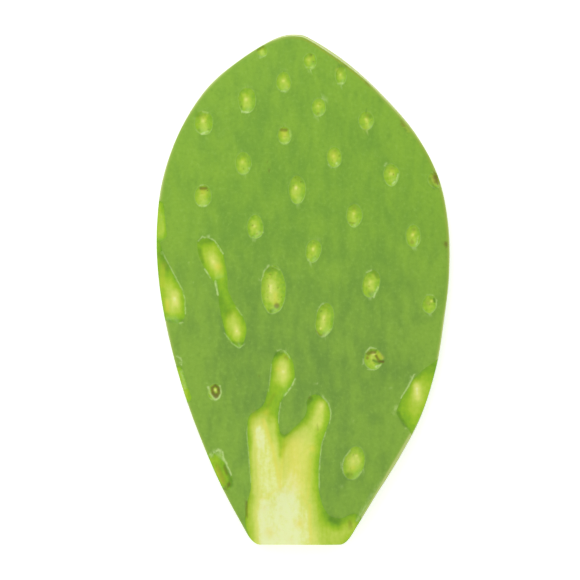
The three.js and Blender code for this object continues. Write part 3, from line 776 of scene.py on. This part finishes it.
def give_tissue(pad):
    """Gives each face corner what its colour follows."""
    mesh = pad.data
    x, y, z = places(pad).T
    front = z > middle_plane(y)
    top, below = Tissue(x, y, True), Tissue(x, y, False)
    top.mark()
    bearing = bearing_of(x, y)
    lean = knife_lean(bearing)
    rim = edge_radius(bearing) - np.where(front, lean, 0) - np.hypot(x, y)
    # From the right side to the tip, a thin brown line runs along the front's edge: partly dried skin,
    # partly painted shade of the trimmed edge falling away.
    shaded_dry_edge = smooth(0, math.radians(30), bearing) * smooth(math.radians(100), math.radians(88), bearing)
    line = shaded_dry_edge * hump(rim - 0.5, 0.5)
    top.brown += 0.4 * line
    top.gold += 0.4 * line
    # The pale line along the edge is lost where the knife leans far, and wider at the lower right.
    rim += 1.5 * np.maximum(0, lean - 0.8) - 0.8 * hump(np.degrees(bearing) - 295, 13)
    under = np.minimum(front_height(x, y) - z, z - back_height(x, y))
    even = np.ones_like(x)
    on_wall = {
        "inside": even,
        "pale": 0.15 + 0.4 * smooth(0.2, 1.8, under),
        "gold": 0.35 * even,
        "brown": 0.4 * even,
        "dark": 0 * even,
        "torn": 0.45 * even,
        "rim": 2 * even,
    }
    vertex, wall = corners(mesh)
    for name, edge in on_wall.items():
        skin = rim if name == "rim" else np.where(front, getattr(top, name), getattr(below, name))
        value = np.where(wall, edge[vertex], skin[vertex])
        mesh.attributes.new(name, "FLOAT", "CORNER").data.foreach_set("value", value.astype(np.float32))
    mesh.attributes.remove(mesh.attributes["wall"])


def settle(pad):
    """Sets the pad down with its outline centred, as the solid is."""
    where = places(pad)
    middle = (where.min(0) + where.max(0)) / 2
    put(pad, where - [middle[0], middle[1], where[:, 2].min()])


# ---------------------------------------------------------------- materials

LIGHT = 1.08  # how bright a white surface facing up would be
SHEEN = 0.022  # what the skin's shine adds to that


def shade(red, green, blue):
    """A colour as it is seen under the scene's light, 0 to 255, turned into the one to mix."""
    seen = [c / 255 for c in (red, green, blue)]
    linear = [c / 12.92 if c <= 0.04045 else ((c + 0.055) / 1.055) ** 2.4 for c in seen]
    return [max(0.004, (c - SHEEN) / LIGHT) for c in linear] + [1.0]


class Finish:
    """A material being made: adds nodes and wires them in one call."""

    def __init__(self, name):
        self.material = bpy.data.materials.new(name)
        self.material.use_nodes = True
        self.tree = self.material.node_tree
        self.surface = self.tree.nodes["Principled BSDF"]
        self.place = self.add("ShaderNodeTexCoord").outputs["Object"]

    def wire(self, socket, value):
        """Links a node's output to a socket, or sets the socket to a plain value."""
        if isinstance(value, bpy.types.NodeSocket):
            self.tree.links.new(value, socket)
        else:
            socket.default_value = value

    def add(self, kind, inputs=None, **settings):
        node = self.tree.nodes.new(kind)
        for name, value in settings.items():
            setattr(node, name, value)
        for name, value in (inputs or {}).items():
            self.wire(node.inputs[name], value)
        return node

    def calculate(self, operation, *values):
        return self.add("ShaderNodeMath", dict(enumerate(values)), operation=operation).outputs[0]

    def between(self, value, start, end, low=0.0, high=1.0):
        """Goes gently from low to high while the value goes from start to end."""
        wanted = {"Value": value, "From Min": start, "From Max": end, "To Min": low, "To Max": high}
        return self.add("ShaderNodeMapRange", wanted, interpolation_type="SMOOTHSTEP").outputs["Result"]

    def mix(self, factor, one, other):
        return self.add("ShaderNodeMix", {0: factor, 6: one, 7: other}, data_type="RGBA").outputs[2]

    def grain(self, size, detail=3.0, stretch=(1, 1, 1), offset=(0, 0, 0)):
        """Noise with features of a size in millimetres."""
        spread = {"Vector": self.place, "Scale": stretch, "Location": offset}
        turned = self.add("ShaderNodeMapping", spread).outputs["Vector"]
        wanted = {"Vector": turned, "Scale": 1 / (size * MM), "Detail": detail}
        return self.add("ShaderNodeTexNoise", wanted).outputs["Fac"]

    def own(self, name):
        """What the mesh itself says at each point."""
        return self.add("ShaderNodeAttribute", attribute_name=name).outputs["Fac"]

    def ramp(self, factor, stops):
        """Colours in a row, each at its place from 0 to 1."""
        node = self.add("ShaderNodeValToRGB", {"Fac": factor})
        points = node.color_ramp.elements
        while len(points) < len(stops):
            points.new(0.5)
        for point, (position, colour) in zip(points, stops):
            point.position = position
            point.color = colour
        return node.outputs["Color"]


def cactus_finish():
    finish = Finish("cactus_skin_and_flesh")
    inside, pale, rim = (finish.own(name) for name in ("inside", "pale", "rim"))

    # Skin: fresh green in soft streaks along the pad, duller towards the stem.
    height = finish.add("ShaderNodeSeparateXYZ", {"Vector": finish.place}).outputs["Y"]
    upper = finish.between(height, -30 * MM, 45 * MM)
    light = finish.mix(upper, shade(135, 174, 67), shade(136, 178, 60))
    dull = finish.mix(upper, shade(113, 151, 65), shade(118, 162, 59))
    patches = finish.calculate("MULTIPLY", finish.grain(12, 3, (1, 0.6, 1), (0.3, 0.1, 0)), 0.5)
    streaks = finish.calculate("MULTIPLY_ADD", finish.grain(3.6, 4, (1, 0.4, 1)), 0.5, patches)
    streaks = finish.calculate("ADD", streaks, finish.between(rim, 32.0, 0.0, 0.0, 0.12))
    skin = finish.mix(finish.between(streaks, 0.33, 0.71), dull, light)
    flecks = finish.grain(1.4, 3)
    skin = finish.mix(finish.between(flecks, 0.5, 0.8, 0, 0.35), skin, shade(150, 190, 84))
    skin = finish.mix(finish.between(flecks, 0.5, 0.2, 0, 0.3), skin, shade(104, 144, 54))

    # Flesh: dark green just under the skin, through yellow green to cream in the thick of the pad; its
    # paleness also carries the painted highlights on wet flesh.
    mottle = finish.calculate("MULTIPLY_ADD", finish.grain(1.6, 4), 0.24, -0.12)
    fibres = finish.calculate("MULTIPLY_ADD", finish.grain(1.6, 3, (1, 0.2, 1)), 0.24, -0.12)
    tone = finish.calculate("ADD", pale, finish.calculate("ADD", mottle, fibres))
    flesh = finish.ramp(
        tone,
        [
            (0.0, shade(112, 162, 38)),
            (0.14, shade(132, 180, 38)),
            (0.28, shade(150, 192, 44)),
            (0.42, shade(172, 203, 60)),
            (0.56, shade(190, 213, 85)),
            (0.68, shade(206, 221, 102)),
            (0.82, shade(220, 228, 118)),
            (0.92, shade(229, 237, 156)),
            (1.0, shade(233, 241, 178)),
        ],
    )
    cut = finish.between(inside, -0.12, 0.12)
    colour = finish.mix(cut, skin, flesh)

    # The torn skin round a cut dries pale, in broken shreds.
    broken = finish.between(finish.grain(1.5, 2, (1, 1, 1), (0.5, 0, 0)), 0.3, 0.6, 0.3, 1)
    shreds = finish.calculate("MULTIPLY", finish.own("torn"), broken)
    colour = finish.mix(finish.calculate("MULTIPLY", shreds, 0.82), colour, shade(194, 221, 140))

    # Golden, dark green and brown places lie over all of that; the dark green is partly painted shade.
    colour = finish.mix(finish.calculate("MULTIPLY", finish.own("gold"), 0.55), colour, shade(230, 216, 76))
    colour = finish.mix(finish.calculate("MULTIPLY", finish.own("dark"), 0.65), colour, shade(72, 112, 22))
    colour = finish.mix(finish.calculate("MULTIPLY", finish.own("brown"), 0.75), colour, shade(112, 98, 28))

    # The skin thins to a pale dry line where it is trimmed, wider in some stretches.
    further = finish.calculate("ADD", rim, 0.65)
    near = finish.calculate("MULTIPLY_ADD", finish.grain(22, 1, (1, 1, 0)), -1.3, further)
    near = finish.calculate("MULTIPLY_ADD", cut, 1.2, near)
    colour = finish.mix(finish.between(near, 1.6, 0.3, 0, 0.8), colour, shade(152, 182, 80))
    colour = finish.mix(finish.between(near, 0.65, 0.15, 0, 0.85), colour, shade(188, 204, 124))

    # Pores finer than the mesh, a waxy skin, and wetter flesh.
    fine = finish.grain(0.45, 2)
    bump = finish.add("ShaderNodeBump", {"Height": fine, "Strength": 0.15, "Distance": 0.2 * MM})
    wanted = {
        "Base Color": colour,
        "Roughness": finish.between(cut, 0, 1, 0.48, 0.36),
        "Normal": bump.outputs["Normal"],
        "Specular IOR Level": 0.32,
        "Subsurface Weight": 0.12,
        "Subsurface Radius": (1.0, 1.6, 0.5),
        "Subsurface Scale": 1.0 * MM,
    }
    for name, value in wanted.items():
        finish.wire(finish.surface.inputs[name], value)
    return finish.material


def table_finish():
    finish = Finish("white_table")
    wanted = {
        "Base Color": (0.9, 0.9, 0.9, 1),
        "Roughness": 0.8,
        "Emission Color": (1, 1, 1, 1),
        "Emission Strength": 0.4,
    }
    for name, value in wanted.items():
        finish.wire(finish.surface.inputs[name], value)
    return finish.material


# ---------------------------------------------------------------- table, light and camera

LENS = 200.0
SENSOR = 36.0
VIEW_WIDTH = 230.4  # what the camera sees from side to side
RIM_HEIGHT = 9.0  # at this height above the table
VIEW_MIDDLE = (-5.2, -0.2)
FURTHEST = 20  # metres that the camera sees
TABLE_SIZE = 4  # metres
STUDIO_GLOW = 0.87
LAMP_PLACE = (-0.3, 0.75, 0.9)  # metres
LAMP_SIZE = 0.7
LAMP_POWER = 5


def look_down():
    """A camera straight above the pad."""
    camera = bpy.data.cameras.new("camera")
    camera.lens = LENS
    camera.sensor_width = SENSOR
    camera.clip_end = FURTHEST
    holder = bpy.data.objects.new("camera", camera)
    far = VIEW_WIDTH * LENS / SENSOR + RIM_HEIGHT
    holder.location = Vector((*VIEW_MIDDLE, far)) * MM
    bpy.context.scene.collection.objects.link(holder)
    bpy.context.scene.camera = holder


def lay_table():
    bpy.ops.object.select_all(action="DESELECT")
    bpy.ops.mesh.primitive_plane_add(size=TABLE_SIZE)
    table = bpy.context.object
    table.name = "table"
    table.data.materials.append(table_finish())


def soft_light():
    """An even white studio, with one large lamp above the tip."""
    world = bpy.data.worlds.new("studio")
    world.use_nodes = True
    world.node_tree.nodes["Background"].inputs["Color"].default_value = (1, 1, 1, 1)
    world.node_tree.nodes["Background"].inputs["Strength"].default_value = STUDIO_GLOW
    bpy.context.scene.world = world
    lamp = bpy.data.lights.new("soft_box", "AREA")
    lamp.shape = "DISK"
    lamp.size = LAMP_SIZE
    lamp.energy = LAMP_POWER
    holder = bpy.data.objects.new("soft_box", lamp)
    holder.location = LAMP_PLACE
    holder.rotation_euler = Vector(holder.location).to_track_quat("Z", "Y").to_euler()
    bpy.context.scene.collection.objects.link(holder)
    bpy.context.scene.view_settings.view_transform = "Standard"


BACK_SCARS = back_scars()
look_down()
pad = model_pad()
give_tissue(pad)
settle(pad)
pad.data.materials.append(cactus_finish())
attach(pad, "root")
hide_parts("pad")
lay_table()
soft_light()
